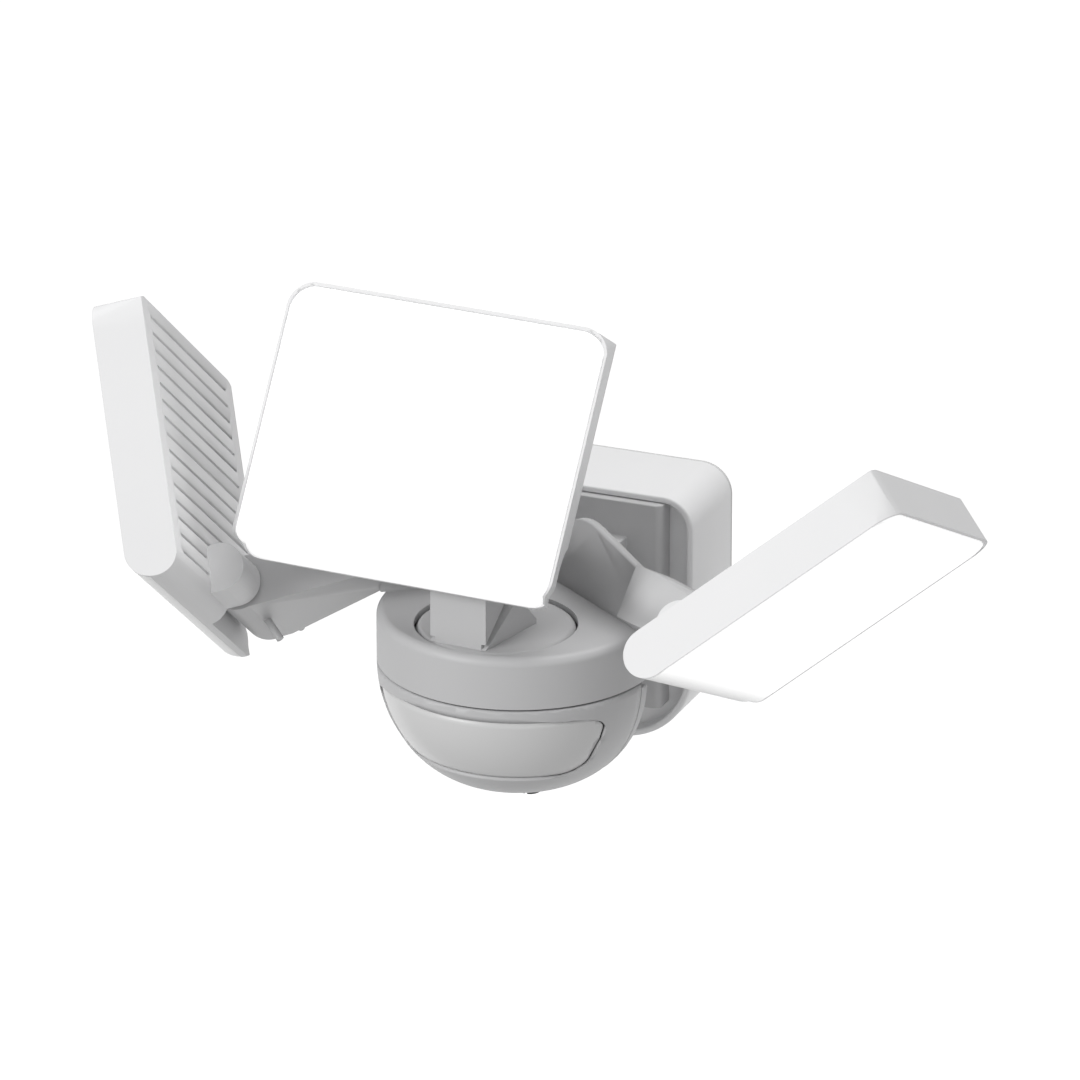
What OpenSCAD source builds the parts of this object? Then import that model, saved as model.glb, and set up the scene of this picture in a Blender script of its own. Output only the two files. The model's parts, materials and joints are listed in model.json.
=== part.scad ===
// Motion sensor security light: a wall box, a round hub with a sensor bowl, two swept arms
// and three flat lamp heads, each on its own tilt joint.
// Origin: centre of the wall face of the box. -Y is the front, +Y goes into the wall, +Z is up.

/* [Wall box] */

// Width of the wall box
box_w = 109; // [80:0.5:140]
// Height of the wall box
box_h = 108; // [80:0.5:140]
// Depth of the wall box from the wall to its front rim
box_d = 45; // [30:0.5:70]
// Radius of the two top corners of the box
box_top_r = 13; // [5:0.5:25]
// Radius of the two bottom corners of the box
box_low_r = 33; // [5:0.5:45]
// Wall thickness of the box
box_t = 3; // [1.5:0.1:5]
// Width of the front rim of the box
rim_front = 2.8; // [1.5:0.1:6]
// Depth of the shallow pocket in the front of the box
pocket_d = 7; // [3:0.5:12]
// Thickness of the foam gasket on the wall
gasket_t = 1.5; // [0.5:0.1:3]
// Width of the foam gasket ring
gasket_w = 2.6; // [1:0.1:6]

/* [Wall bracket] */

// Width of the steel wall bracket
bracket_w = 22; // [12:0.5:40]
// Thickness of the steel wall bracket
bracket_t = 2; // [1:0.1:4]
// Spacing of the two bracket bolt holes
bracket_pitch = 88.9; // [60:0.1:95]
// Radius of a bracket bolt hole
bracket_hole_r = 2.4; // [1.5:0.05:4]
// Length of the folded tabs of the bracket
bracket_tab = 14; // [5:0.5:20]
// Size of the lamp driver: width, depth, height
driver_size = [64, 18, 34]; // [5:0.5:90]
// Size of the wire block: width, depth, height
block_size = [26, 11, 10]; // [5:0.5:50]

/* [Rear housing] */

// Distance of the hub axis in front of the wall
hub_off = 98; // [70:0.5:130]
// Height of the hub seam below the box centre
seam_low = 2; // [-20:0.5:20]
// Half width of the flange in the pocket
flange_hw = 42; // [20:0.5:50]
// How far the flange stands proud of the box rim
flange_proud = 3.5; // [0:0.1:8]
// Top of the flange above the seam
flange_top = 51; // [30:0.5:55]
// Bottom of the flange below the seam
flange_low = 36; // [10:0.5:50]
// Radius of the upright edges of the flange
flange_r = 3; // [1:0.5:8]
// Half width of the neck between the hub and the flange
neck_hw = 27; // [15:0.5:34]
// Height of the neck above the seam
neck_top = 38; // [25:0.5:50]
// Depth of the neck below the seam
neck_low = 30; // [10:0.5:36]
// Wall thickness of the neck
neck_t = 3; // [1.5:0.1:6]

/* [Hub] */

// Outer radius of the hub
hub_r = 57; // [40:0.5:70]
// Height of the hub cover above the seam
hub_h = 22.5; // [15:0.5:40]
// Radius of the rounded top edge of the hub cover
hub_edge_r = 3.5; // [1:0.5:8]
// Wall thickness of the hub cover
hub_t = 3; // [1.5:0.1:5]
// Gap that shows as the dark seam under the hub cover
seam_gap = 0.8; // [0.3:0.1:2]
// Thickness of the deck under the hub cover
deck_t = 3; // [2:0.1:5]
// Where the hub is cut flat at the rear
hub_cut = 44; // [30:0.5:48]
// Side and front places of the four cover posts
post_at = [44, 14, 30, 32]; // [5:0.5:50]
// Radius of a cover post
post_r = 3.6; // [2.5:0.1:6]

/* [Turntable] */

// Radius of the round hole for the turntable
table_hole_r = 33; // [25:0.5:35]
// Running gap round the turntable
table_gap = 0.9; // [0.3:0.1:3]
// Forward offset of the turntable axis from the hub axis
table_off = 20.5; // [5:0.5:21]
// Side offset of the turntable axis
table_x = -1; // [-5:0.5:5]
// Thickness of the turntable disc
table_t = 5; // [3:0.5:8]
// Radius of the rounded rim of the turntable
table_rim_r = 2.4; // [0.5:0.1:4]
// How far the turntable is sunk in the hub
table_sink = 0.5; // [0:0.1:2]
// Radius of the turntable spigot
spigot_r = 16; // [10:0.5:20]
// Thickness of the bearing plate under the turntable
plate_t = 3; // [2:0.1:5]
// Vertical play of the turntable
table_play = 0.3; // [0.2:0.05:0.6]

/* [Sensor bowl] */

// Depth of the sensor bowl below the seam
bowl_d = 52; // [30:0.5:70]
// Radius of the flat bottom of the bowl
bowl_flat_r = 18; // [5:0.5:30]
// Wall thickness of the bowl
bowl_t = 2.4; // [1:0.1:4]
// Where the bowl ends in front of the hub axis
bowl_cut = 7; // [4:0.5:15]
// Thickness of the rear wall of the sensor
rear_t = 5; // [3:0.5:10]
// Half angle of the sensor window
window_half = 64; // [30:1:80]
// Top of the sensor window below the seam
window_top = 12; // [6:0.5:20]
// Bottom of the sensor window below the seam
window_low = 42; // [25:0.5:48]
// Radius of a control dial under the bowl
dial_r = 4.5; // [3:0.5:7]
// How far a control dial stands out of the bowl
dial_out = 1.6; // [0.5:0.1:4]
// How far the two control dials stand from the middle
dial_x = 11; // [8:0.5:20]
// How far the two control dials stand forward
dial_y = 14; // [5:0.5:20]
// Radial clearance of a control dial
dial_play = 0.08; // [0.02:0.01:0.1]

/* [Wings] */

// Angle of a wing from the side axis seen from above
wing_angle = 36.3; // [20:0.1:60]
// Distance of the wing corner behind the hub axis
wing_back = 33; // [15:0.5:40]
// Thickness of the wing plate
wing_t = 4; // [2:0.1:6]
// Radius of the round shoulder of a wing
shoulder_r = 28; // [15:0.5:40]
// Centre of the round shoulder along the wing
shoulder_s = 30; // [20:0.5:45]
// Top of the round shoulder above the seam
shoulder_top = 56; // [40:0.5:70]
// Slope of the top edge of a wing
wing_slope = 12.4; // [0:0.1:30]
// Where the arm body starts along the wing
arm_s = 70; // [60:0.5:85]
// Depth of the arm body behind the front of the wing
arm_d = 14; // [8:0.5:25]
// Slope of the top of the arm body toward the back
arm_fall = 26; // [0:1:45]
// Bottom of the arm body above the seam
arm_low = 28; // [23:0.5:40]
// Size of the foot behind a wing: length, depth, height
foot_size = [34, 9, 8]; // [5:0.5:50]

/* [Lamp heads] */

// Width of a lamp head
head_w = 142; // [100:0.5:200]
// Lengths of the left, centre and right lamp heads
head_l = [118, 113, 122]; // [80:0.5:160]
// Thickness of a lamp head
head_t = 20; // [12:0.5:35]
// Radius of the corners of a lamp head
head_r = 12; // [4:0.5:25]
// How much each side of a lamp head leans in toward the back
head_taper = 6; // [0:0.1:12]
// Wall thickness of the lamp shell
shell_t = 2.5; // [1.5:0.1:4]
// Width of the thin rim round the lens
rim_w = 1.3; // [0.6:0.1:3]
// How far the lens wraps back over the mount end
lens_wrap = 8.5; // [4:0.1:12]
// Play of the lens in its seat
lens_play = 0.1; // [0:0.05:0.5]
// Distance of the lamp room from the mount end
lens_low = 10.5; // [3:0.1:20]
// Thickness of the opal lens
lens_t = 3; // [1.5:0.1:5]
// Thickness of the lens seal
seal_t = 1; // [0.5:0.1:2]
// Number of grooves across the back
groove_n = 15; // [5:1:18]
// Spacing of the grooves
groove_pitch = 7.1; // [4:0.02:8]
// Distance of the first groove from the free end
groove_start = 6; // [4:0.5:20]
// Width of a groove
groove_w = 1.5; // [0.5:0.1:4]
// Depth of a groove
groove_d = 1.5; // [0.5:0.1:2]
// Half length of a groove
groove_half = 54; // [20:0.5:60]
// Side length of a lamp chip
chip = 3; // [1:0.1:5]
// Thickness of a circuit board
board_t = 1.6; // [0.8:0.1:3]

/* [Tilt joints] */

// Radius of the round boss on a head
boss_r = 10; // [6:0.5:14]
// Length of the round boss along the tilt axis
boss_l = 25; // [12:0.1:40]
// Distance of the tilt axis from the mount end
axis_e = 15; // [8:0.5:20]
// Distance of the tilt axis behind the back face
axis_g = 4; // [0:0.5:8]
// Where the boss ends across the head measured from the middle
boss_end = 10; // [5:0.5:30]
// Radius of a knuckle
knuckle_r = 11; // [7:0.5:12]
// Length of a side arm knuckle
knuckle_l = 49; // [20:0.5:52]
// Length of the centre knuckle
post_l = 24.5; // [15:0.5:40]
// Radius of the clearance round a knuckle
clear_r = 13; // [12:0.5:18]
// Thickness of the tongue beside the knuckle
tongue_t = 11.5; // [6:0.5:14]
// Gap between a boss and its knuckle
joint_gap = 1.2; // [0.6:0.1:3]
// Radius of a tilt bolt
bolt_r = 2.5; // [1.5:0.1:4]
// Radial clearance of a tilt bolt in its bore
bolt_play = 0.06; // [0.01:0.01:0.1]
// Radius of a tilt bolt head
bolt_head_r = 5.5; // [3:0.5:8]
// Height of a tilt bolt head
bolt_head_h = 3; // [2:0.5:5]
// How much thinner than its knuckle an arm is on each side
arm_inset = 0.3; // [0.1:0.1:2]
// Radius of the stop rib on an arm
stop_r = 1.8; // [1:0.1:3]
// Distance of the stop rib from the tilt axis
stop_at = 9; // [6:0.5:15]
// Turn of the left and right arms at their knuckles
arm_turn = [15.6, -31.8]; // [-60:0.1:60]
// Slope of the slit in the centre post
slit_slope = 34; // [20:1:50]
// Width of the slit in the centre post
slit_w = 2; // [1:0.1:4]
// Length of the foot of the centre post
post_foot = 35; // [24:0.5:40]

/* [Rest positions] */

// Left tilt axis point
left_p = [-109.6, -32, 27.3]; // [-200:0.1:200]
// Turn, drop and roll of the left tilt axis
left_a = [70.9, 36.1, 94.9]; // [-180:0.1:180]
// Right tilt axis point
right_p = [98.9, -53, 47.3]; // [-200:0.1:200]
// Turn, drop and roll of the right tilt axis
right_a = [-41.5, 25.7, 92]; // [-180:0.1:180]
// Centre tilt axis point
centre_p = [-18.9, -35.7, 53]; // [-200:0.1:200]
// Turn, drop and roll of the centre tilt axis
centre_a = [-122.2, 0, -3.2]; // [-180:0.1:180]

/* [Fastenings] */

// Radius of a screw
screw_r = 1.5; // [1:0.1:2]
// Radius of a screw head
screw_head_r = 2.9; // [2:0.1:4]
// Height of a screw head
screw_head_h = 2; // [1:0.1:4]
// Clearance of a screw in its hole
screw_play = 0.05; // [0:0.01:0.2]

/* [Finish] */

// Colour of the moulded plastic
shell_color = "whitesmoke"; // [whitesmoke, white, dimgray]
// Colour of the opal lenses
lens_color = "white"; // [white, ivory]
// Colour of the steel parts
steel_color = "silver"; // [silver, gray]
// Colour of the circuit boards
board_color = "seagreen"; // [seagreen, white]
// Colour of the rubber and foam parts
rubber_color = "dimgray"; // [dimgray, black]

/* [Hidden] */

eps = 0.01;
seat = 0.3;
big = 4 * hub_off;
hub_y = -hub_off;
seam_z = -seam_low;
front_y = -box_d;
floor_y = front_y + pocket_d;
cavity_y = floor_y + box_t;
flange_y = front_y - flange_proud;
bracket_h = box_h - 2 * box_t;
drill_r = screw_r + screw_play;
// hub levels, measured from the seam
cover_z = hub_h - hub_t;
table_top = hub_h - table_sink;
table_low = table_top - table_t;
plate_top = table_low - table_play;
plate_low = plate_top - plate_t;
deck_low = seam_gap - deck_t;
posts = [[post_at[0], -post_at[1]], [-post_at[0], -post_at[1]],
    [post_at[2], post_at[3]], [-post_at[2], post_at[3]]];
// joint frame: x along the tilt axis, y toward the free end, z toward the back
x_mid = -boss_end;
y_low = -axis_e;
z_back = -axis_g;
z_front = z_back - head_t;
z_tongue = z_front + tongue_t;
z_in = z_back - shell_t;
nose_r = head_t / 2;

// outlines of the two arms in the joint frame, from the knuckle to the end of the wing
arm_half = knuckle_r - arm_inset;
arm_end = joint_gap + knuckle_l;
left_side = [[-arm_half, 0], [arm_half, 0], [12.5, 52], [9, 63], [-7.5, 58]];
left_top = [[joint_gap, 0], [arm_end, 0], [arm_end, 8], [26, 53], [16, 63], [joint_gap, 63]];
right_side = [[-arm_half, 0], [arm_half, 0], [-10, 37], [-16, 46], [-31, 30]];
right_top = [[joint_gap, 0], [arm_end, 0], [arm_end, 8], [60, 26], [56, 40], [40, 47]];

module box_outline(m) {
    tr = box_top_r - m;
    lr = box_low_r - m;
    hw = box_w / 2 - m;
    hh = box_h / 2 - m;
    translate([-hw, lr - hh]) square([2 * hw, 2 * hh - lr - tr]);
    translate([tr - hw, 0]) square([2 * (hw - tr), hh]);
    translate([lr - hw, -hh]) square([2 * (hw - lr), hh]);
    for (s = [-1, 1]) {
        translate([s * (hw - tr), hh - tr]) circle(r = tr, $fn = 64);
        translate([s * (hw - lr), lr - hh]) circle(r = lr, $fn = 96);
    }
}

// Upright slab of a front outline from y0 back to y1
module slab(y0, y1) {
    translate([0, y1, 0]) rotate([90, 0, 0]) linear_extrude(height = y1 - y0) children();
}

// Slab of a side outline (a along y, b along z) from x0 to x1
module side_slab(x0, x1) {
    translate([x0, 0, 0]) rotate([90, 0, 90]) linear_extrude(height = x1 - x0) children();
}

// Screw with its shank along -Z and its head above z = 0
module screw(l, r, hr, hh) {
    difference() {
        union() {
            translate([0, 0, -l]) cylinder(r = r, h = l + hh / 2, $fn = 24);
            cylinder(r = hr, h = hh, $fn = 32);
        }
        translate([0, 0, hh / 2]) cylinder(r = hr / 2, h = hh, $fn = 6);
    }
}

module std_screw(l) {
    screw(l, screw_r, screw_head_r, screw_head_h);
}

module drill(l, r = drill_r) {
    translate([0, 0, -l]) cylinder(r = r, h = l, $fn = 24);
}

module at_hub() {
    translate([0, hub_y, seam_z]) children();
}

module at_left() {
    at_hub() translate(left_p) rotate(left_a) children();
}

module at_right() {
    at_hub() translate(right_p) rotate(right_a) mirror([0, 1, 0]) children();
}

module at_centre() {
    at_hub() translate(centre_p) rotate(centre_a) mirror([0, 1, 0]) children();
}

// Upright frame of the centre post, x along the centre tilt axis
module at_post() {
    at_hub() translate(centre_p) rotate([0, 0, centre_a[2]]) children();
}

module at_table() {
    at_hub() translate([table_x, -table_off, 0]) children();
}

// Frame of a wing: x along the wing, y behind it, z up
module at_wing(s) {
    at_hub() mirror([s < 0 ? 1 : 0, 0, 0]) translate([0, wing_back, 0])
        rotate([0, 0, -wing_angle]) children();
}

// Wall box

module flange_screw_places() {
    for (x = [-1, 1]) {
        translate([x * (flange_hw - box_t * 2), cavity_y, flange_top - seam_low - box_t * 3])
            rotate([-90, 0, 0]) children();
        translate([x * (neck_hw + box_t), cavity_y, box_t * 4 - flange_low])
            rotate([-90, 0, 0]) children();
    }
}

module driver_screw_places() {
    for (x = [-1, 1])
        translate([x * (driver_size[0] / 2 + screw_head_r + seat), cavity_y + board_t,
            driver_size[2] / 2]) rotate([-90, 0, 0]) children();
}

module box_screw_place() {
    translate([0, -bracket_tab / 2 - bracket_t, -box_h / 2]) rotate([180, 0, 0]) children();
}

module wall_box() {
    color(shell_color) difference() {
        slab(front_y, -gasket_t) box_outline(0);
        slab(cavity_y, 0) box_outline(box_t);
        slab(front_y - 1, floor_y) box_outline(rim_front);
        translate([-neck_hw / 2, front_y, -neck_low / 2 - seam_low])
            cube([neck_hw, box_d / 2, neck_low / 2]);
        flange_screw_places() drill(box_d / 2);
        driver_screw_places() drill(box_t * 2);
        box_screw_place() drill(box_t * 2);
    }
}

module wall_gasket() {
    color(rubber_color) slab(-gasket_t, 0) difference() {
        box_outline(seat);
        box_outline(seat + gasket_w);
    }
}

module wall_bracket() {
    color(steel_color) difference() {
        union() {
            translate([-bracket_w / 2, -bracket_t, -bracket_h / 2])
                cube([bracket_w, bracket_t, bracket_h]);
            for (z = [-bracket_h / 2, bracket_h / 2 - bracket_t])
                translate([-bracket_w / 2, -bracket_tab, z])
                    cube([bracket_w, bracket_tab, bracket_t]);
        }
        for (s = [-1, 1])
            translate([0, bracket_t, s * bracket_pitch / 2]) rotate([90, 0, 0])
                cylinder(r = bracket_hole_r, h = bracket_t * 3, $fn = 32);
        box_screw_place() drill(box_t * 3);
    }
}

module box_screw() {
    color(steel_color) box_screw_place() std_screw(box_t * 2);
}

module led_driver() {
    ear = 2 * (screw_head_r + seat);
    color(rubber_color) difference() {
        union() {
            translate([-driver_size[0] / 2, cavity_y, 0])
                cube(driver_size);
            translate([-driver_size[0] / 2 - ear, cavity_y, driver_size[2] / 2 - ear])
                cube([driver_size[0] + 2 * ear, board_t, 2 * ear]);
        }
        driver_screw_places() drill(box_t);
    }
}

module driver_screws() {
    color(steel_color) driver_screw_places() std_screw(board_t + box_t - seat);
}

module wire_block() {
    color(lens_color) difference() {
        translate([-block_size[0] / 2, cavity_y, -neck_low - seam_low])
            cube(block_size);
        for (i = [-1, 0, 1])
            translate([i * block_size[0] / 3, cavity_y + block_size[1] / 2, -neck_low])
                cylinder(r = screw_r, h = block_size[2], $fn = 24);
    }
}

// Rear housing: the flange in the pocket, the neck and the deck under the hub

module flange_outline() {
    z0 = -flange_low - seam_low;
    z1 = flange_top - seam_low;
    translate([-flange_hw, z0]) square([2 * flange_hw, z1 - z0]);
}

// Solid of revolution of the sensor bowl, drawn inset by m
module bowl_solid(m) {
    ra = hub_r - bowl_flat_r;
    pts = [for (i = [0 : 14]) [bowl_flat_r + (ra - m) * cos(i * 6.4),
        -(bowl_d - m) * sin(i * 6.4)]];
    rotate_extrude($fn = 96) polygon(concat([[0, 0]], pts, [[0, -(bowl_d - m)]]));
}

module hub_chord(y0, y1, z0, z1) {
    translate([-big / 2, y0, z0]) cube([big, y1 - y0, z1 - z0]);
}

module rear_housing() {
    flange_front = hub_off + flange_y;
    color(shell_color) difference() {
        union() {
            slab(flange_y, floor_y) flange_outline();
            at_hub() {
                translate([-neck_hw, wing_back + neck_t, hub_h])
                    cube([2 * neck_hw, flange_front - wing_back, neck_top - hub_h]);
                translate([-neck_hw, hub_cut + seat, -neck_low])
                    cube([2 * neck_hw, flange_front - hub_cut, neck_top + neck_low]);
                translate([-neck_hw, rear_t - bowl_cut + seat, -neck_low])
                    cube([2 * neck_hw, flange_front - rear_t + bowl_cut, neck_low + deck_low + eps]);
                intersection() {
                    translate([0, 0, deck_low])
                        cylinder(r = hub_r - bowl_t - seat, h = deck_t, $fn = 96);
                    hub_chord(-big / 2, flange_front, deck_low, hub_h);
                }
                for (p = posts)
                    translate([p[0], p[1], deck_low])
                        cylinder(r = post_r, h = plate_low - deck_low, $fn = 32);
            }
        }
        // hollow of the lower neck, open into the box
        at_hub() translate([neck_t - neck_hw, rear_t - bowl_cut + neck_t, neck_t - neck_low])
            cube([2 * (neck_hw - neck_t), big / 4, neck_low + deck_low - neck_t * 2]);
        // hollow of the upper neck, open into the box
        at_hub() translate([neck_t - neck_hw, hub_cut + neck_t * 1.5, seam_gap])
            cube([2 * (neck_hw - neck_t), big / 4, neck_top - neck_t]);
        at_hub() {
            for (p = posts)
                translate([p[0], p[1], plate_top]) drill(plate_top - deck_low * 2);
            rear_screw_places() drill(neck_t * 3);
        }
        flange_screw_places() drill(box_t * 3);
        // round the front upright edges of the flange
        for (s = [-1, 1])
            translate([s * flange_hw, flange_y, -flange_low - seam_low]) difference() {
                translate([-flange_r, -flange_r, -1])
                    cube([2 * flange_r, 2 * flange_r, flange_low + flange_top + 2]);
                translate([-s * flange_r, flange_r, -2])
                    cylinder(r = flange_r, h = flange_low + flange_top + 4, $fn = 48);
            }
    }
}

module flange_screws() {
    color(steel_color) flange_screw_places() std_screw(box_t * 3 - seat);
}

// Hub cover, bearing plate and turntable

module hub_cover() {
    color(shell_color) difference() {
        at_hub() difference() {
            rotate_extrude($fn = 128) {
                translate([0, seam_gap]) square([hub_r, hub_h - seam_gap - hub_edge_r]);
                square([0.5, hub_h]);
                translate([0, seam_gap]) square([hub_r - hub_edge_r, hub_h - seam_gap]);
                translate([hub_r - hub_edge_r, hub_h - hub_edge_r]) circle(r = hub_edge_r, $fn = 48);
            }
            hub_chord(hub_cut, big / 2, -hub_h, 2 * hub_h);
            difference() {
                translate([0, 0, -hub_h])
                    cylinder(r = hub_r - hub_t, h = hub_h + cover_z, $fn = 128);
                hub_chord(hub_cut - hub_t, big / 2, -2 * hub_h, 2 * hub_h);
                for (p = posts)
                    translate([p[0], p[1], plate_top]) cylinder(r = post_r, h = hub_h, $fn = 32);
            }
            translate([table_x, -table_off, 0]) cylinder(r = table_hole_r, h = 2 * hub_h, $fn = 128);
            for (p = posts)
                translate([p[0], p[1], cover_z + hub_t / 2]) drill(hub_h);
            translate([0, 0, -eps]) cylinder(r = hub_r + 1, h = seam_gap + eps, $fn = 96);
        }
        wing_screw_places() rotate([180, 0, 0]) drill(hub_h / 2);
    }
}

module hub_plate() {
    color(shell_color) difference() {
        at_hub() difference() {
            translate([0, 0, plate_low])
                cylinder(r = hub_r - hub_t - seat, h = plate_t, $fn = 96);
            hub_chord(hub_cut - hub_t - seat, big / 2, 0, hub_h);
            for (p = posts)
                translate([p[0], p[1], plate_top + 1]) drill(2 * plate_t);
        }
        at_table() translate([0, 0, plate_low - 1])
            cylinder(r = spigot_r + bolt_play, h = plate_t + 2, $fn = 96);
        wing_screw_places() drill(hub_h, 2 * screw_head_r);
    }
}

module hub_screws() {
    color(steel_color) at_hub() for (p = posts)
        translate([p[0], p[1], deck_low]) rotate([180, 0, 0])
            std_screw(cover_z - deck_low);
}

module turntable() {
    r = table_hole_r - table_gap;
    color(shell_color) difference() {
        at_table() difference() {
            union() {
                rotate_extrude($fn = 128) {
                    translate([0, table_low]) square([r, table_t - table_rim_r]);
                    translate([0, table_low]) square([r - table_rim_r, table_t]);
                    translate([r - table_rim_r, table_top - table_rim_r])
                        circle(r = table_rim_r, $fn = 48);
                }
                translate([0, 0, plate_low - table_play])
                    cylinder(r = spigot_r, h = table_t + table_low - plate_low, $fn = 96);
            }
            translate([0, 0, plate_low - 1])
                cylinder(r = spigot_r - neck_t - 1, h = table_low - plate_low + 1, $fn = 64);
            clip_screw_places() translate([0, 0, 2 * screw_r]) drill(4 * screw_r, 1);
        }
        post_screw_places() translate([0, 0, table_t * 2]) drill(table_t * 4);
    }
}

module clip_screw_places() {
    for (a = [0, 120, 240])
        rotate([0, 0, a]) translate([spigot_r - neck_t / 2 - 0.5, 0, plate_low - table_play]) children();
}

module table_clip() {
    color(shell_color) at_table() difference() {
        translate([0, 0, plate_low - table_play - 2]) difference() {
            cylinder(r = spigot_r + 3, h = 2, $fn = 64);
            translate([0, 0, -1]) cylinder(r = spigot_r - 6, h = 4, $fn = 64);
        }
        clip_screw_places() drill(4 * screw_r, 1.02);
    }
}

module clip_screws() {
    color(steel_color) at_table() clip_screw_places() translate([0, 0, -2])
        rotate([180, 0, 0]) screw(2 + screw_r, 1, 1.9, 1.4);
}

// Centre post on the turntable

post_h = centre_p[2] - table_top;

// Region above the slit, in the side view of the post
module post_upper() {
    rise = 2 * knuckle_r * tan(slit_slope);
    polygon([[-knuckle_r, -post_h], [knuckle_r, rise - post_h], [knuckle_r, 0], [-knuckle_r, 0]]);
}

module post_front() {
    x0 = joint_gap;
    x1 = joint_gap + post_l;
    color(shell_color) difference() {
        at_post() difference() {
            union() {
                side_slab(x0, x1) post_upper();
                translate([x0, 0, 0]) rotate([0, 90, 0]) cylinder(r = knuckle_r, h = post_l, $fn = 64);
            }
            translate([0, 0, 0]) rotate([0, 90, 0])
                cylinder(r = bolt_r + bolt_play, h = x1 + 1, $fn = 48);
            for (x = [x0 - 1, x1 - slit_w])
                translate([x, -knuckle_r, -post_h]) rotate([slit_slope, 0, 0])
                    cube([slit_w + 1, 3 * knuckle_r, slit_w]);
        }
        post_screw_places() translate([0, 0, table_t + post_h / 1.6]) drill(post_h);
    }
}

module post_rear() {
    x0 = joint_gap;
    x1 = joint_gap + post_l;
    rise = 2 * knuckle_r * tan(slit_slope);
    y1 = post_foot - knuckle_r;
    color(shell_color) difference() {
        at_post() intersection() {
            side_slab(x0, x1 + knuckle_r)
                polygon([[-knuckle_r, -post_h], [y1, -post_h], [y1, slit_w - post_h],
                    [knuckle_r + 1, rise - post_h], [knuckle_r, rise - post_h]]);
            translate([0, 0, -post_h]) linear_extrude(height = post_h)
                polygon([[x0, -knuckle_r], [x1, -knuckle_r], [x1 + knuckle_r / 2, y1], [x0, y1]]);
        }
        post_screw_places() translate([0, 0, post_h]) drill(2 * post_h);
    }
}

// Two screws up through the turntable and the foot into the post
module post_screw_places() {
    for (s = [-1, 1])
        at_table() translate([s * spigot_r / 4, -spigot_r / 2, table_low]) children();
}

module post_screws() {
    color(steel_color) post_screw_places() rotate([180, 0, 0]) std_screw(table_t + post_h / 1.7);
}

// Wings with the swept arms

module wing_screw_places() {
    for (s = [-1, 1], k = [0.25, 0.75])
        at_wing(s) translate([shoulder_s / 2 + foot_size[0] * k, wing_t + foot_size[1] / 2, cover_z])
            children();
}

module wing_outline() {
    cz = shoulder_top - shoulder_r;
    tx = shoulder_s + shoulder_r * sin(wing_slope);
    tz = cz + shoulder_r * cos(wing_slope);
    translate([shoulder_s, cz]) circle(r = shoulder_r, $fn = 96);
    polygon([[shoulder_s - shoulder_r, hub_h], [arm_s, hub_h],
        [arm_s, tz - (arm_s - tx) * tan(wing_slope)], [tx, tz], [shoulder_s, cz],
        [shoulder_s - shoulder_r, cz]]);
}

// Arm of a side, cut from a side outline (y, z) and a top outline (x, z) of the joint frame
module arm(side, top) {
    intersection() {
        side_slab(0, 2 * knuckle_l) polygon(side);
        slab(-knuckle_l, knuckle_l) polygon(top);
    }
}

module knuckle(turn) {
    translate([joint_gap, 0, 0]) rotate([0, 90, 0]) cylinder(r = knuckle_r, h = knuckle_l, $fn = 64);
    rotate([-turn, 0, 0]) translate([joint_gap, stop_r / 3 - knuckle_r, stop_at])
        rotate([0, 90, 0]) cylinder(r = stop_r, h = knuckle_l + stop_r, $fn = 32);
}

module knuckle_bore() {
    rotate([0, 90, 0]) cylinder(r = bolt_r + bolt_play, h = knuckle_l * 2, $fn = 48);
}

module wing_plate(s) {
    at_wing(s) {
        difference() {
            translate([0, wing_t, 0]) rotate([90, 0, 0]) linear_extrude(height = wing_t) wing_outline();
            translate([-big / 2, -1, -big]) cube([big, big, big + hub_h]);
        }
        translate([shoulder_s / 2, wing_t - eps, hub_h]) cube(foot_size);
    }
}

module wing_left() {
    color(shell_color) difference() {
        union() {
            wing_plate(-1);
            at_left() arm(left_side, left_top);
            at_left() knuckle(arm_turn[0]);
        }
        at_left() knuckle_bore();
        wing_screw_places() rotate([180, 0, 0]) drill(hub_t + foot_size[2] - 1);
    }
}

module wing_right() {
    color(shell_color) difference() {
        union() {
            wing_plate(1);
            at_right() arm(right_side, right_top);
            at_right() knuckle(arm_turn[1]);
        }
        at_right() knuckle_bore();
        wing_screw_places() rotate([180, 0, 0]) drill(hub_t + foot_size[2] - 1);
    }
}

module wing_screws() {
    color(steel_color) wing_screw_places() rotate([180, 0, 0])
        std_screw(hub_t + foot_size[2] - 2);
}

// Motion sensor

module window_zone(m) {
    a = window_half - m;
    r = 2 * hub_r;
    translate([0, 0, m / 4 - window_low]) linear_extrude(height = window_low - window_top - m / 2)
        polygon([[0, 0], [-r * sin(a), -r * cos(a)], [-r * sin(a / 2), -r * cos(a / 2)], [0, -r],
            [r * sin(a / 2), -r * cos(a / 2)], [r * sin(a), -r * cos(a)]]);
}

dials = [[-dial_x, -dial_y], [dial_x, -dial_y]];

module rear_screw_places() {
    for (s = [-1, 1])
        translate([s * neck_hw / 2, rear_t - bowl_cut + neck_t, -neck_low / 2])
            rotate([-90, 0, 0]) children();
}

module bowl_screw_places() {
    for (s = [-1, 1])
        translate([s * (hub_r - 4 * post_r), rear_t - bowl_cut, -2.5 * post_r])
            rotate([-90, 0, 0]) children();
}

module board_screw_places() {
    for (s = [-1, 1])
        translate([s * window_half / 3, -hub_r / 2, -window_low / 2]) rotate([90, 0, 0]) children();
}

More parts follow.
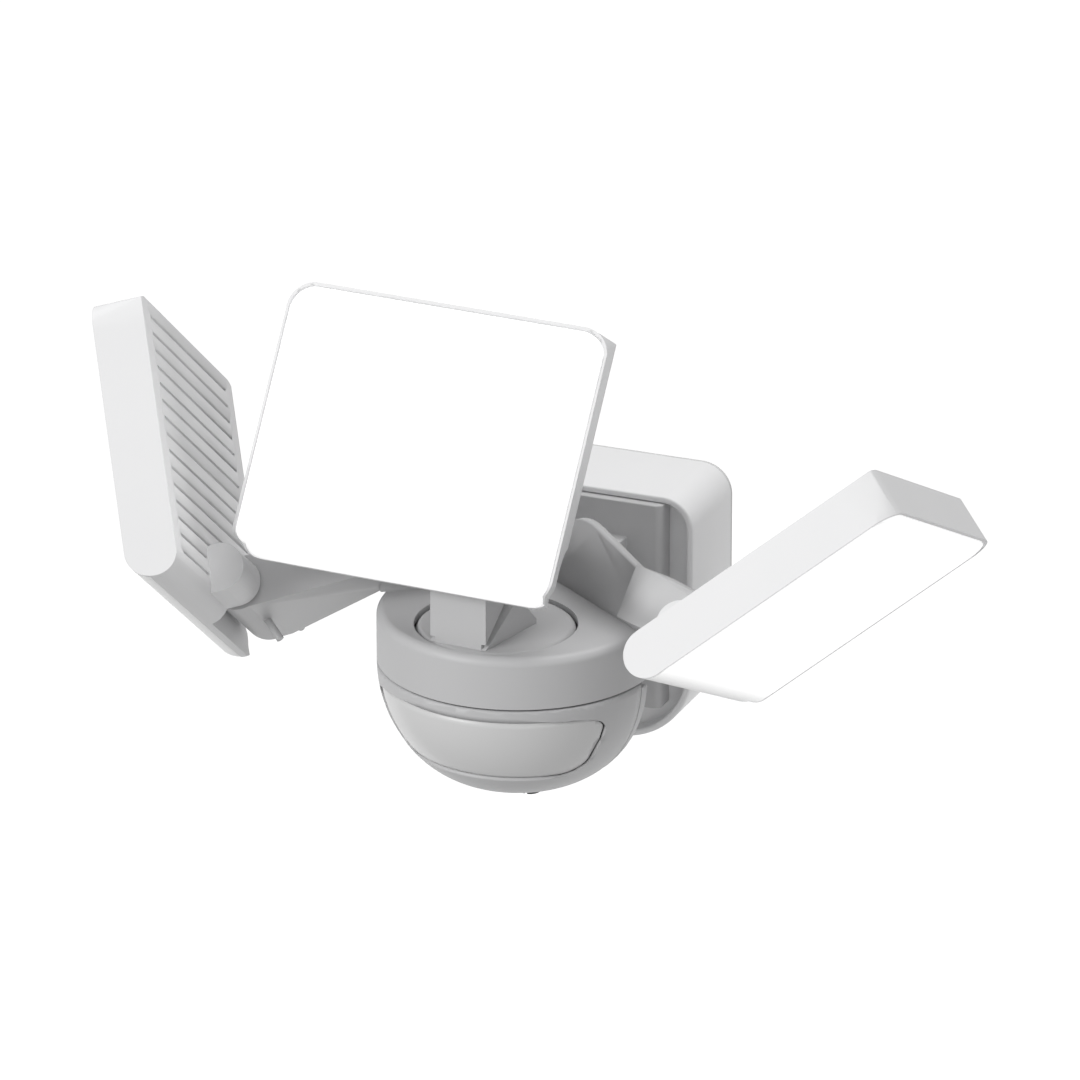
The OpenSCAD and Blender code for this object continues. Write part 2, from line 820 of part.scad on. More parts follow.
module sensor_bowl() {
    color(shell_color) at_hub() difference() {
        union() {
            difference() {
                bowl_solid(0);
                translate([0, 0, bowl_t]) bowl_solid(bowl_t + eps);
                translate([0, 0, -bowl_t]) cylinder(r = hub_r - bowl_t, h = hub_r, $fn = 96);
            }
            intersection() {
                bowl_solid(bowl_t / 2);
                union() {
                    for (s = [-1, 1])
                        translate([s * (hub_r - 4 * post_r), -bowl_cut, -2.5 * post_r])
                            rotate([90, 0, 0]) cylinder(r = post_r, h = hub_r, $fn = 32);
                    translate([0, -dial_y, -bowl_d]) cylinder(r = 2.5, h = bowl_d / 5, $fn = 24);
                }
            }
        }
        hub_chord(-bowl_cut, big / 2, -2 * bowl_d, hub_h);
        window_zone(0);
        for (d = dials)
            translate([d[0], d[1], -2 * bowl_d])
                cylinder(r = dial_r + dial_play, h = 2 * bowl_d - 6 * bowl_t, $fn = 48);
        bowl_screw_places() drill(3 * rear_t);
    }
}

module sensor_rear() {
    color(shell_color) at_hub() difference() {
        union() {
            intersection() {
                bowl_solid(0);
                hub_chord(seat - bowl_cut, rear_t - bowl_cut, -2 * bowl_d, deck_low);
            }
            board_screw_places() translate([0, 0, bowl_cut - 1 - hub_r / 2])
                cylinder(r = 2.5, h = hub_r / 2 - bowl_cut + 1, $fn = 24);
        }
        rear_screw_places() drill(3 * rear_t);
        bowl_screw_places() drill(3 * rear_t);
    }
}

module rear_screws() {
    color(steel_color) at_hub() rear_screw_places() std_screw(neck_t + rear_t - 1);
}

module bowl_screws() {
    color(steel_color) at_hub() bowl_screw_places() std_screw(3 * rear_t - 1);
}

module sensor_window() {
    color(lens_color) at_hub() intersection() {
        difference() {
            bowl_solid(0.5);
            translate([0, 0, bowl_t]) bowl_solid(bowl_t + 0.5);
        }
        window_zone(0.6);
    }
}

module sensor_board() {
    bw = window_half * 0.8;
    bh = window_low * 0.6;
    color(board_color) at_hub()
        translate([-bw / 2, -hub_r / 2 - board_t, -window_low / 2 - bh / 2]) cube([bw, board_t, bh]);
}

module sensor_can() {
    color(steel_color) at_hub() translate([0, -hub_r / 2 - board_t, -window_low / 2 - 4])
        rotate([90, 0, 0]) cylinder(r = 4.6, h = 4.2, $fn = 48);
}

module light_cell() {
    color(lens_color) at_hub() translate([window_half / 4, -hub_r / 2 - board_t, -window_low / 2 - 7])
        rotate([90, 0, 0]) cylinder(r = 2.4, h = 2.2, $fn = 32);
}

module dial_board() {
    color(board_color) at_hub() translate([-2 * dial_x, -dial_y - dial_r, -bowl_d * 0.8])
        cube([4 * dial_x, 2 * dial_r, board_t]);
}

module dial(i) {
    top = bowl_d * 0.8 + seat;
    color(rubber_color) at_hub() translate([dials[i][0], dials[i][1], -bowl_d - dial_out]) difference() {
        cylinder(r = dial_r, h = bowl_d + dial_out - top, $fn = 48);
        translate([-0.6, -dial_r, -1]) cube([1.2, 2 * dial_r, 2.2]);
    }
}

module time_dial() {
    dial(0);
}

module light_dial() {
    dial(1);
}

// Lamp heads, drawn in the joint frame; l is the head length and k the knuckle length

module plate_outline(hw, y0, y1, ra, rb) {
    ym = (y0 + y1) / 2;
    translate([x_mid - hw, y0 + ra]) square([2 * hw, y1 - y0 - ra - rb]);
    translate([x_mid - hw + ra, y0]) square([2 * (hw - ra), ym - y0]);
    translate([x_mid - hw + rb, ym]) square([2 * (hw - rb), y1 - ym]);
    for (s = [-1, 1]) {
        translate([x_mid + s * (hw - ra), y0 + ra]) circle(r = ra, $fn = 64);
        translate([x_mid + s * (hw - rb), y1 - rb]) circle(r = rb, $fn = 64);
    }
}

module head_form(l, m) {
    hw = head_w / 2;
    y1 = l - axis_e;
    intersection() {
        translate([0, 0, z_front - big / 8]) linear_extrude(height = big / 4)
            plate_outline(hw - m, y_low + m, y1 - m, 3, head_r - m);
        translate([0, y1 + 1, 0]) rotate([90, 0, 0]) linear_extrude(height = l + 2)
            polygon([[x_mid - hw + m, z_front - 1 + m], [x_mid + hw - m, z_front - 1 + m],
                [x_mid + hw - m - head_taper, z_back - m],
                [x_mid - hw + m + head_taper, z_back - m]]);
        side_slab(x_mid - head_w, x_mid + head_w) {
            translate([y_low + nose_r, z_front + m]) square([l, head_t - 2 * m]);
            translate([y_low + nose_r, z_front + nose_r]) circle(r = nose_r - m, $fn = 96);
        }
    }
}

module knuckle_zone(m) {
    translate([-m, 0, 0]) rotate([0, 90, 0]) cylinder(r = clear_r + m, h = head_w, $fn = 64);
    translate([-m, y_low - 1, z_tongue - m]) cube([head_w, axis_e + 1 + m / 2, head_t * 2]);
}

module grooves(l) {
    y1 = l - axis_e;
    for (i = [0 : groove_n - 1]) {
        x1 = i < groove_n - 4 ? groove_half : (i < groove_n - 3 ? boss_end + 8
            : (i < groove_n - 2 ? boss_end - 18 : boss_end - boss_l - 2));
        translate([x_mid - groove_half, y1 - groove_start - groove_pitch * i - groove_w,
            z_back - groove_d])
            cube([groove_half + x1, groove_w, 2 * groove_d]);
    }
}

module head_shell(l) {
    y1 = l - axis_e;
    hw = head_w / 2;
    color(shell_color) difference() {
        union() {
            head_form(l, 0);
            translate([-boss_l, 0, 0]) rotate([0, 90, 0]) cylinder(r = boss_r, h = boss_l, $fn = 64);
            translate([-boss_l, -boss_r, z_back - shell_t]) cube([boss_l, boss_r, axis_g + shell_t]);
        }
        lens_form(l, 0);
        // room for the chips behind the lens
        difference() {
            intersection() {
                head_form(l, shell_t);
                translate([0, 0, z_front]) linear_extrude(height = head_t)
                    plate_outline(hw - shell_t - rim_w, y_low + lens_low + shell_t,
                        y1 - shell_t - rim_w, head_r - shell_t, head_r - shell_t);
            }
            knuckle_zone(shell_t);
        }
        translate([0, 0, 0]) knuckle_zone(0);
        grooves(l);
        translate([-boss_l * 0.75, 0, 0]) rotate([0, 90, 0])
            cylinder(r = bolt_r, h = boss_l, $fn = 48);
    }
}

// Room for the lens, inset by m: flat in front and wrapped over the front half of the mount end
module lens_form(l, m) {
    y1 = l - axis_e - rim_w - m;
    hw = head_w / 2 - rim_w - m;
    z_wrap = z_front + lens_wrap - m;
    difference() {
        intersection() {
            translate([0, 0, z_front - nose_r]) linear_extrude(height = nose_r + lens_wrap - m)
                plate_outline(hw, y_low - nose_r, y1, head_r - rim_w, head_r - rim_w - m);
            slab(y_low - nose_r, y1) polygon([[x_mid - hw, z_front - nose_r],
                [x_mid + hw, z_front - nose_r], [x_mid + hw, z_front],
                [x_mid + hw - head_taper, z_back], [x_mid - hw + head_taper, z_back],
                [x_mid - hw, z_front]]);
            side_slab(x_mid - head_w, x_mid + head_w) {
                translate([y_low + nose_r, z_front]) square([l, head_t]);
                translate([y_low + nose_r, z_front + nose_r]) circle(r = nose_r, $fn = 96);
            }
        }
        side_slab(x_mid - head_w, x_mid + head_w) {
            translate([y_low + nose_r, z_front + lens_t - m]) square([l, head_t]);
            translate([y_low + nose_r, z_front + nose_r]) circle(r = nose_r - lens_t + m, $fn = 96);
        }
    }
}

module head_lens(l) {
    color(lens_color) lens_form(l, lens_play);
}

module head_seal(l) {
    y1 = l - axis_e;
    hw = head_w / 2 - shell_t - rim_w - 0.2;
    r = head_r - shell_t - 0.2;
    color(rubber_color) translate([0, 0, z_front + lens_t]) linear_extrude(height = seal_t)
        difference() {
            plate_outline(hw, y_low + lens_low + shell_t + 1.5, y1 - shell_t - rim_w - 0.2, r, r);
            plate_outline(hw - 2, y_low + lens_low + shell_t + 3.5, y1 - shell_t - rim_w - 2.2,
                r - 2, r - 2);
        }
}

module board_place(l) {
    y0 = clear_r + 2 * shell_t;
    y1 = l - axis_e - 2.5 * shell_t;
    hw = head_w / 2 - head_taper - 2 * shell_t;
    translate([x_mid - hw, y0, z_in - board_t]) children();
}

module head_board(l) {
    y0 = clear_r + 2 * shell_t;
    y1 = l - axis_e - 2.5 * shell_t;
    hw = head_w / 2 - head_taper - 2 * shell_t;
    color(board_color) translate([x_mid - hw, y0, z_in - board_t]) cube([2 * hw, y1 - y0, board_t]);
}

module head_chips(l) {
    y0 = clear_r + 2 * shell_t;
    y1 = l - axis_e - 2.5 * shell_t;
    hw = head_w / 2 - head_taper - 2 * shell_t;
    color(lens_color) for (i = [-3.5 : 3.5], j = [0.5 : 4.5])
        translate([x_mid + i * hw / 4.5 - chip / 2, y0 + (y1 - y0) * j / 5 - chip / 2,
            z_in - board_t - chip / 4])
            cube([chip, chip, chip / 4]);
}

module head_bolt(k) {
    color(steel_color) {
        translate([-boss_l * 0.7, 0, 0]) rotate([0, 90, 0])
            cylinder(r = bolt_r, h = boss_l * 0.7 + joint_gap + k + seat + 1, $fn = 48);
        translate([joint_gap + k + seat, 0, 0]) rotate([0, 90, 0])
            cylinder(r = bolt_head_r, h = bolt_head_h, $fn = 6);
    }
}

module head_washer() {
    color(rubber_color) rotate([0, 90, 0]) difference() {
        cylinder(r = boss_r - 1.6, h = joint_gap - seat, $fn = 64);
        translate([0, 0, -1]) cylinder(r = bolt_r + bolt_play, h = joint_gap + 2, $fn = 48);
    }
}

module left_shell() {
    at_left() head_shell(head_l[0]);
}

module left_lens() {
    at_left() head_lens(head_l[0]);
}

module left_seal() {
    at_left() head_seal(head_l[0]);
}

module left_board() {
    at_left() head_board(head_l[0]);
}

module left_chips() {
    at_left() head_chips(head_l[0]);
}

module left_bolt() {
    at_left() head_bolt(knuckle_l);
}

module left_washer() {
    at_left() head_washer();
}

module centre_shell() {
    at_centre() head_shell(head_l[1]);
}

module centre_lens() {
    at_centre() head_lens(head_l[1]);
}

module centre_seal() {
    at_centre() head_seal(head_l[1]);
}

module centre_board() {
    at_centre() head_board(head_l[1]);
}

module centre_chips() {
    at_centre() head_chips(head_l[1]);
}

module centre_bolt() {
    at_centre() head_bolt(post_l);
}

module centre_washer() {
    at_centre() head_washer();
}

module right_shell() {
    at_right() head_shell(head_l[2]);
}

module right_lens() {
    at_right() head_lens(head_l[2]);
}

module right_seal() {
    at_right() head_seal(head_l[2]);
}

module right_board() {
    at_right() head_board(head_l[2]);
}

module right_chips() {
    at_right() head_chips(head_l[2]);
}

module right_bolt() {
    at_right() head_bolt(knuckle_l);
}

module right_washer() {
    at_right() head_washer();
}

wall_box();
wall_gasket();
wall_bracket();
box_screw();
led_driver();
driver_screws();
wire_block();
rear_housing();
flange_screws();
hub_cover();
wing_left();
wing_right();
wing_screws();
hub_plate();
hub_screws();
turntable();
table_clip();
clip_screws();
post_rear();
post_front();
post_screws();
sensor_bowl();
sensor_rear();
rear_screws();
sensor_window();
sensor_board();
sensor_can();
light_cell();
bowl_screws();
dial_board();
time_dial();
light_dial();
left_shell();
left_lens();
left_seal();
left_board();
left_chips();
left_bolt();
left_washer();
centre_shell();
centre_lens();
centre_seal();
centre_board();
centre_chips();
centre_bolt();
centre_washer();
right_shell();
right_lens();
right_seal();
right_board();
right_chips();
right_bolt();
right_washer();
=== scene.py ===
import json
import math

import bmesh
import bpy
from mathutils import Matrix, Vector


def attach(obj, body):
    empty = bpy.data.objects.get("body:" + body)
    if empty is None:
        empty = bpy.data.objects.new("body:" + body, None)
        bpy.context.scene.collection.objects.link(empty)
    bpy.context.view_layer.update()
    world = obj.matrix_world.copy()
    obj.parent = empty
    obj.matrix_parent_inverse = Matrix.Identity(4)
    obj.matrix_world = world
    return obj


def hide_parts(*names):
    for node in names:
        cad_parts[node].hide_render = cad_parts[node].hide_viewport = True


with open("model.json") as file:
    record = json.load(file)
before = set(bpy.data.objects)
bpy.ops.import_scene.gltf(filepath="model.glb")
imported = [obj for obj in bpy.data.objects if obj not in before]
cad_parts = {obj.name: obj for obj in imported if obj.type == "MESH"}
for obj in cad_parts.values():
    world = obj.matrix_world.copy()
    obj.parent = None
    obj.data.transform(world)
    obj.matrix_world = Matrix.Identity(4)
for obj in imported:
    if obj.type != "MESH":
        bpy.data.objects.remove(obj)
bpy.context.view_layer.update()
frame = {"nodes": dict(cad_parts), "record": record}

nodes = frame["nodes"]
bodies = frame["record"]["behaviour"]["bodies"]
rides_on = {node: body for body, group in bodies.items() for node in group}

# Camera
# The photograph's viewpoint, solved from the box, the hub and the lamp heads.
# A long lens from the right, a little above the light.
azimuth, elevation = math.radians(22.4403), math.radians(21.9193)
camera_data = bpy.data.cameras.new("camera")
camera_data.lens = 285.2
camera_data.sensor_width = 36
camera_data.clip_start = 0.1
camera_data.clip_end = 100
camera = bpy.data.objects.new("camera", camera_data)
bpy.context.scene.collection.objects.link(camera)
camera.location = (1.2231, -3.0363, 1.3294)
back = Vector((
    math.sin(azimuth) * math.cos(elevation),
    -math.cos(azimuth) * math.cos(elevation),
    math.sin(elevation),
))
camera.rotation_mode = "QUATERNION"
camera.rotation_quaternion = back.to_track_quat("Z", "Y")
bpy.context.scene.camera = camera
bpy.context.scene.view_settings.view_transform = "Standard"

# Stage
# A pale floor well below and behind the light, as bright as the photograph's white background.
# It fills the picture from the camera's side only; elsewhere the grey room shows.
floor_size, floor_place, floor_glow = 4.5, (-1.5, 5.2, -2), 0.66
floor_shape = bmesh.new()
bmesh.ops.create_grid(floor_shape, x_segments=1, y_segments=1, size=floor_size)
bmesh.ops.translate(floor_shape, vec=floor_place, verts=floor_shape.verts)
floor_data = bpy.data.meshes.new("floor")
floor_shape.to_mesh(floor_data)
floor_shape.free()
floor = bpy.data.objects.new("floor", floor_data)
bpy.context.scene.collection.objects.link(floor)
floor_paint = bpy.data.materials.new("floor_paint")
floor_paint.use_nodes = True
floor_shader = floor_paint.node_tree.nodes["Principled BSDF"]
floor_shader.inputs["Base Color"].default_value = (0.9, 0.9, 0.9, 1)
floor_shader.inputs["Roughness"].default_value = 0.9
floor_shader.inputs["Emission Color"].default_value = (1, 1, 1, 1)
floor_shader.inputs["Emission Strength"].default_value = floor_glow
floor_data.materials.append(floor_paint)

# Lights
# An even white room, a strong soft light from the front left, one from above and behind,
# and a weak one from the right. All three point at the middle of the object.
room_light = 0.43
room = bpy.data.worlds.new("room")
room.use_nodes = True
room.node_tree.nodes["Background"].inputs["Color"].default_value = (1, 1, 1, 1)
room.node_tree.nodes["Background"].inputs["Strength"].default_value = room_light
bpy.context.scene.world = room
aim = Vector((0, -0.1, 0))
for name, place, size, power in (
    ("key_light", (-1.4, -2.6, 1.3), 1.3, 53),
    ("top_light", (0.2, 0.4, 2.6), 1.4, 38),
    ("right_light", (2.0, -2.4, 0.2), 1.2, 8),
):
    light_data = bpy.data.lights.new(name, "AREA")
    light_data.shape = "SQUARE"
    light_data.size = size
    light_data.energy = power
    light = bpy.data.objects.new(name, light_data)
    bpy.context.scene.collection.objects.link(light)
    light.location = place
    light.rotation_mode = "QUATERNION"
    light.rotation_quaternion = (Vector(place) - aim).to_track_quat("Z", "Y")

# Wall box
# A moulded white box with two small and two large corners, open at the back, with a foam ring
# that seals it on the wall, a steel strap for the outlet box and one screw underneath.
weld = 0.000002  # points of a CAD piece closer than this are one point
grain_scale, cloud_scale, noise_detail = 1500, 22, 2
darkest, lightest, rough_spread = 0.98, 1.02, 0.06
relief_strength, relief_depth = 0.2, 0.00002


def plastic(name, colour, rough, painted_glow=0.0):
    """Moulded plastic: a faint cloud in its colour, a fine grain in its sheen and relief."""
    material = bpy.data.materials.new(name)
    material.use_nodes = True
    tree = material.node_tree
    shader = tree.nodes["Principled BSDF"]
    place = tree.nodes.new("ShaderNodeTexCoord")
    grain = tree.nodes.new("ShaderNodeTexNoise")
    cloud = tree.nodes.new("ShaderNodeTexNoise")
    for noise, scale in ((grain, grain_scale), (cloud, cloud_scale)):
        noise.inputs["Scale"].default_value = scale
        noise.inputs["Detail"].default_value = noise_detail
        tree.links.new(place.outputs["Object"], noise.inputs["Vector"])
    tint = tree.nodes.new("ShaderNodeMix")
    tint.data_type = "RGBA"
    dark_end, light_end, mixed = tint.inputs[6], tint.inputs[7], tint.outputs[2]
    dark_end.default_value = (*[part * darkest for part in colour], 1)
    light_end.default_value = (*[min(1.0, part * lightest) for part in colour], 1)
    sheen = tree.nodes.new("ShaderNodeMapRange")
    sheen.inputs["To Min"].default_value = rough - rough_spread
    sheen.inputs["To Max"].default_value = rough + rough_spread
    relief = tree.nodes.new("ShaderNodeBump")
    relief.inputs["Strength"].default_value = relief_strength
    relief.inputs["Distance"].default_value = relief_depth
    tree.links.new(cloud.outputs["Fac"], tint.inputs["Factor"])
    tree.links.new(mixed, shader.inputs["Base Color"])
    tree.links.new(grain.outputs["Fac"], sheen.inputs["Value"])
    tree.links.new(sheen.outputs["Result"], shader.inputs["Roughness"])
    tree.links.new(grain.outputs["Fac"], relief.inputs["Height"])
    tree.links.new(relief.outputs["Normal"], shader.inputs["Normal"])
    # A glow, when given, is painted light: emission in the plastic's own colour.
    if painted_glow:
        tree.links.new(mixed, shader.inputs["Emission Color"])
        shader.inputs["Emission Strength"].default_value = painted_glow
    return material


def metal(name, colour, rough):
    material = plastic(name, colour, rough)
    material.node_tree.nodes["Principled BSDF"].inputs["Metallic"].default_value = 1.0
    return material


def finished(name, finish):
    """A CAD piece that shows as it is, in that finish."""
    nodes[name].data.materials.clear()
    nodes[name].data.materials.append(finish)


def welded(name):
    """A copy of a CAD piece's shape with its loose triangles joined."""
    shape = bmesh.new()
    shape.from_mesh(nodes[name].data)
    bmesh.ops.remove_doubles(shape, verts=shape.verts, dist=weld)
    return shape


def made(shape, name, finish, crease):
    """An object of that shape, smooth except where its faces turn by more than the crease."""
    data = bpy.data.meshes.new(name)
    shape.to_mesh(data)
    shape.free()
    data.shade_smooth()
    data.set_sharp_from_angle(angle=math.radians(crease))
    data.materials.append(finish)
    piece = bpy.data.objects.new(name, data)
    bpy.context.scene.collection.objects.link(piece)
    return piece


def moulded(name, finish, edge):
    """A copy of a CAD piece with its flat faces joined and its sharp edges rounded."""
    flat, sharp, crease = math.radians(0.8), math.radians(32), 38
    shape = welded(name)
    bmesh.ops.dissolve_limit(
        shape, angle_limit=flat, verts=shape.verts, edges=shape.edges,
    )
    lines = [
        line for line in shape.edges
        if len(line.link_faces) == 2 and line.calc_face_angle() > sharp
    ]
    bmesh.ops.bevel(
        shape, geom=lines, offset=edge, offset_type="OFFSET", segments=3,
        profile=0.5, affect="EDGES", material=-1, clamp_overlap=False,
    )
    bmesh.ops.triangulate(shape, faces=[f for f in shape.faces if len(f.verts) > 4])
    piece = made(shape, name + "_moulding", finish, crease)
    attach(piece, rides_on[name])
    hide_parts(name)
    return piece


box_white = plastic("box_white", (0.88, 0.88, 0.885), rough=0.5)
zinc = metal("zinc", (0.6, 0.61, 0.62), rough=0.35)
foam = plastic("foam", (0.7, 0.7, 0.7), rough=0.9)
moulded("wall_box", box_white, edge=0.0009)
finished("wall_gasket", foam)
finished("wall_bracket", zinc)
finished("box_screw", zinc)

# Inside of the box
# A dark lamp driver screwed to the front wall of the box and a nylon wire block.
driver_black = plastic("driver_black", (0.03, 0.03, 0.032), rough=0.5)
nylon = plastic("nylon", (0.74, 0.72, 0.64), rough=0.45)
finished("led_driver", driver_black)
finished("driver_screws", zinc)
finished("wire_block", nylon)

# Rear housing
# The flange in the front of the box, the neck and the deck below the hub, one grey moulding
# held by four screws from inside the box. Its grey is painted shade as well, darkening the box's
# front pocket, most of which it covers. Its top edge is raised to where the photograph has it.
# A grey that is the body's own colour and, in the box's front pocket, painted shade as well.
body_grey_and_shade = plastic("body_grey_and_shade", (0.53, 0.53, 0.535), rough=0.5)
housing_top, housing_raise = 0.046, 0.0021
housing = moulded("rear_housing", body_grey_and_shade, edge=0.0006)
for point in housing.data.vertices:
    if point.co.z > housing_top:
        point.co.z += housing_raise
finished("flange_screws", zinc)

# Hub
# A round cover with a large hole for the turntable, screwed to the deck over a bearing plate.
finished("hub_cover", body_grey_and_shade)
finished("hub_plate", body_grey_and_shade)
finished("hub_screws", zinc)

# Wings
# Two upright plates on the hub that run out into the swept arms and their knuckles. The left
# arm shows its creases and has a thin pin at its knuckle; the right one is shaded smooth.
pin_start, pin_way = Vector((-0.1113, -0.1103, 0.0108)), Vector((0.7207, -0.3687, -0.5871))
pin_middle, pin_radius, pin_length = 0.0155, 0.0016, 0.012
for name, crease in (("wing_left", 30), ("wing_right", 80)):
    shape = welded(name)
    if name == "wing_left":
        matrix = pin_way.to_track_quat("Z", "Y").to_matrix().to_4x4()
        matrix.translation = pin_start + pin_way * pin_middle
        bmesh.ops.create_cone(
            shape, cap_ends=True, cap_tris=False, segments=24,
            radius1=pin_radius, radius2=pin_radius, depth=pin_length, matrix=matrix,
        )
    wing = made(shape, name + "_moulding", body_grey_and_shade, crease)
    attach(wing, "base")
    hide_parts(name)
finished("wing_screws", zinc)

# Turntable and centre post
# A disc with a rounded rim that turns in the cover, and a post made of two halves.
finished("turntable", body_grey_and_shade)
finished("table_clip", body_grey_and_shade)
finished("clip_screws", zinc)
finished("post_rear", body_grey_and_shade)
finished("post_front", body_grey_and_shade)
finished("post_screws", zinc)

# Motion sensor, rear wall
# The bowl in the photograph is a little shallower and fuller than the CAD bowl, so the wall
# that closes it from behind is spread and raised to fit.
window_milk = plastic("window_milk", (0.66, 0.66, 0.66), rough=0.35)
board_green = plastic("board_green", (0.03, 0.2, 0.08), rough=0.4)
cell_amber = plastic("cell_amber", (0.5, 0.2, 0.05), rough=0.2)
dial_black = plastic("dial_black", (0.03, 0.03, 0.03), rough=0.5)
hub_y, seam_z = -0.098, -0.002
bowl_foot, bowl_round, bowl_fullness = 0.018, 0.039, 1.12
cad_bowl_depth, bowl_raise = 0.052, 0.002
shape = welded("sensor_rear")
for point in shape.verts:
    depth = min(1.0, max(0.0, (seam_z - point.co.z) / cad_bowl_depth))
    slope = math.sqrt(1 - depth * depth)
    fuller = bowl_foot + bowl_round * slope ** bowl_fullness
    point.co.x *= fuller / (bowl_foot + bowl_round * slope)
    point.co.z += bowl_raise * depth
sensor_back = made(shape, "sensor_back", body_grey_and_shade, crease=24)
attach(sensor_back, "base")
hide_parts("sensor_rear")

# Motion sensor, bowl and window
# A round bowl cut flat at the rear, with an opening for the window, a sunk lip round it and
# two holes for the dials. The milky window is the piece of the same skin inside that outline.
# Distances at which a cut takes a point, a point lies on the outline, and two points are one.
split, on_line, skin_weld = 0.000001, 0.00002, 0.00001
bowl_top, bowl_depth, bowl_end = 0.0002, 0.0498, 0.05
ring_count, ring_step, turn_steps = 29, 3.2, 96
bowl_cut_y, bowl_heart = -0.0075, Vector((0, 0, -0.02))
front_y, window_floor, dial_floor = -0.02, -0.045, -0.046
lip_width, lip_drop, bowl_wall = 0.0022, 0.0008, 0.0024
window_gap, window_drop, window_wall = 0.0003, 0.0009, 0.0016
dial_places, dial_hole, hole_sides = ((-0.011, -0.014), (0.011, -0.014)), 0.0048, 16
# Four circles, each with its place and radius: a line drawn tight round them is the window.
window_rounds = (
    (-0.0439, -0.012, 0.005), (0.0439, -0.012, 0.005),
    (-0.03, -0.02, 0.0145), (0.03, -0.02, 0.0145),
)
window_side_count = 40
window_sides = []
for step in range(window_side_count):
    turn = 2 * math.pi * step / window_side_count
    across, up = math.cos(turn), math.sin(turn)
    reach = max(x * across + z * up + radius for x, z, radius in window_rounds)
    window_sides.append((across, up, reach))


def past_window(place):
    """How far a place lies outside the window's outline, seen from the front."""
    return max(place.x * across + place.z * up - reach for across, up, reach in window_sides)


def score(shape, faces, place, way):
    """Cut those faces along a plane and keep both sides."""
    lines = {e for f in faces for e in f.edges}
    points = {v for f in faces for v in f.verts}
    bmesh.ops.bisect_plane(
        shape, geom=list(points) + list(lines) + faces, dist=split, plane_co=place, plane_no=way,
    )


def bowl_skin(offsets):
    """The bowl's outer skin, scored along the window's outline at each offset, and the faces
    inside the first of them."""
    skin = bmesh.new()
    rings = []
    for i in range(ring_count):
        turn = math.radians(ring_step * i)
        radius = bowl_foot + bowl_round * math.cos(turn) ** bowl_fullness
        rings.append(skin.verts.new((radius, 0, -bowl_top - bowl_depth * math.sin(turn))))
    rings.append(skin.verts.new((0, 0, -bowl_end)))
    lines = [skin.edges.new(pair) for pair in zip(rings, rings[1:])]
    bmesh.ops.spin(
        skin, geom=rings + lines, cent=(0, 0, 0), axis=(0, 0, 1), angle=2 * math.pi,
        steps=turn_steps, use_merge=True,
    )
    bmesh.ops.remove_doubles(skin, verts=skin.verts, dist=skin_weld)
    bmesh.ops.bisect_plane(
        skin, geom=skin.verts[:] + skin.edges[:] + skin.faces[:],
        plane_co=(0, bowl_cut_y, 0), plane_no=(0, 1, 0), clear_outer=True,
    )
    for offset in offsets:
        for across, up, reach in window_sides:
            near = [
                f for f in skin.faces
                if f.calc_center_median().y < front_y and f.calc_center_median().z > window_floor
            ]
            out = reach + offset
            score(skin, near, (across * out, 0, up * out), (across, 0, up))
    pane = [
        f for f in skin.faces
        if f.calc_center_median().y < front_y and past_window(f.calc_center_median()) < offsets[0]
    ]
    bmesh.ops.recalc_face_normals(skin, faces=skin.faces)
    if sum(f.normal.dot(f.calc_center_median() - bowl_heart) for f in skin.faces) < 0:
        bmesh.ops.reverse_faces(skin, faces=skin.faces)
    return skin, pane


def bowl_piece(shape, name, finish, wall):
    """An object of that skin, moved to the hub and given its wall on the inside."""
    bmesh.ops.translate(shape, vec=(0, hub_y, seam_z), verts=shape.verts)
    piece = made(shape, name, finish, crease=30)
    body = piece.modifiers.new("wall", "SOLIDIFY")
    body.thickness = wall
    body.offset = -1
    return piece


skin, pane = bowl_skin((0, lip_width))
bmesh.ops.delete(skin, geom=pane, context="FACES")
skin.normal_update()
for point in skin.verts:
    if point.co.y < front_y and abs(past_window(point.co)) < on_line:
        point.co -= point.normal * lip_drop
for dial_x, dial_y in dial_places:
    for step in range(hole_sides):
        turn = 2 * math.pi * step / hole_sides
        side = Vector((math.cos(turn), math.sin(turn), 0))
        near = [f for f in skin.faces if f.calc_center_median().z < dial_floor]
        score(skin, near, Vector((dial_x, dial_y, 0)) + side * dial_hole, side)
    hole = []
    for f in skin.faces:
        heart = f.calc_center_median()
        if heart.z < dial_floor and math.hypot(heart.x - dial_x, heart.y - dial_y) < dial_hole:
            hole.append(f)
    bmesh.ops.delete(skin, geom=hole, context="FACES")
bowl = bowl_piece(skin, "bowl", body_grey_and_shade, bowl_wall)
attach(bowl, "base")
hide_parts("sensor_bowl")

skin, pane = bowl_skin((-window_gap,))
inside = set(pane)
bmesh.ops.delete(skin, geom=[f for f in skin.faces if f not in inside], context="FACES")
skin.normal_update()
for point in skin.verts:
    point.co -= point.normal * window_drop
window = bowl_piece(skin, "window", window_milk, window_wall)
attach(window, "base")
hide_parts("sensor_window")

# Motion sensor, inside and dials
# Screws, boards, sensor can and light cell, and two black dials that stand a little higher
# than the CAD dials, because the bowl is shallower here.
dial_raise = 0.0026
finished("rear_screws", zinc)
finished("bowl_screws", zinc)
finished("sensor_can", zinc)
finished("sensor_board", board_green)
finished("dial_board", board_green)
finished("light_cell", cell_amber)
for name in ("time_dial", "light_dial"):
    shape = welded(name)
    bmesh.ops.translate(shape, vec=(0, 0, dial_raise), verts=shape.verts)
    knob = made(shape, name + "_knob", dial_black, crease=30)
    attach(knob, rides_on[name])
    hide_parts(name)

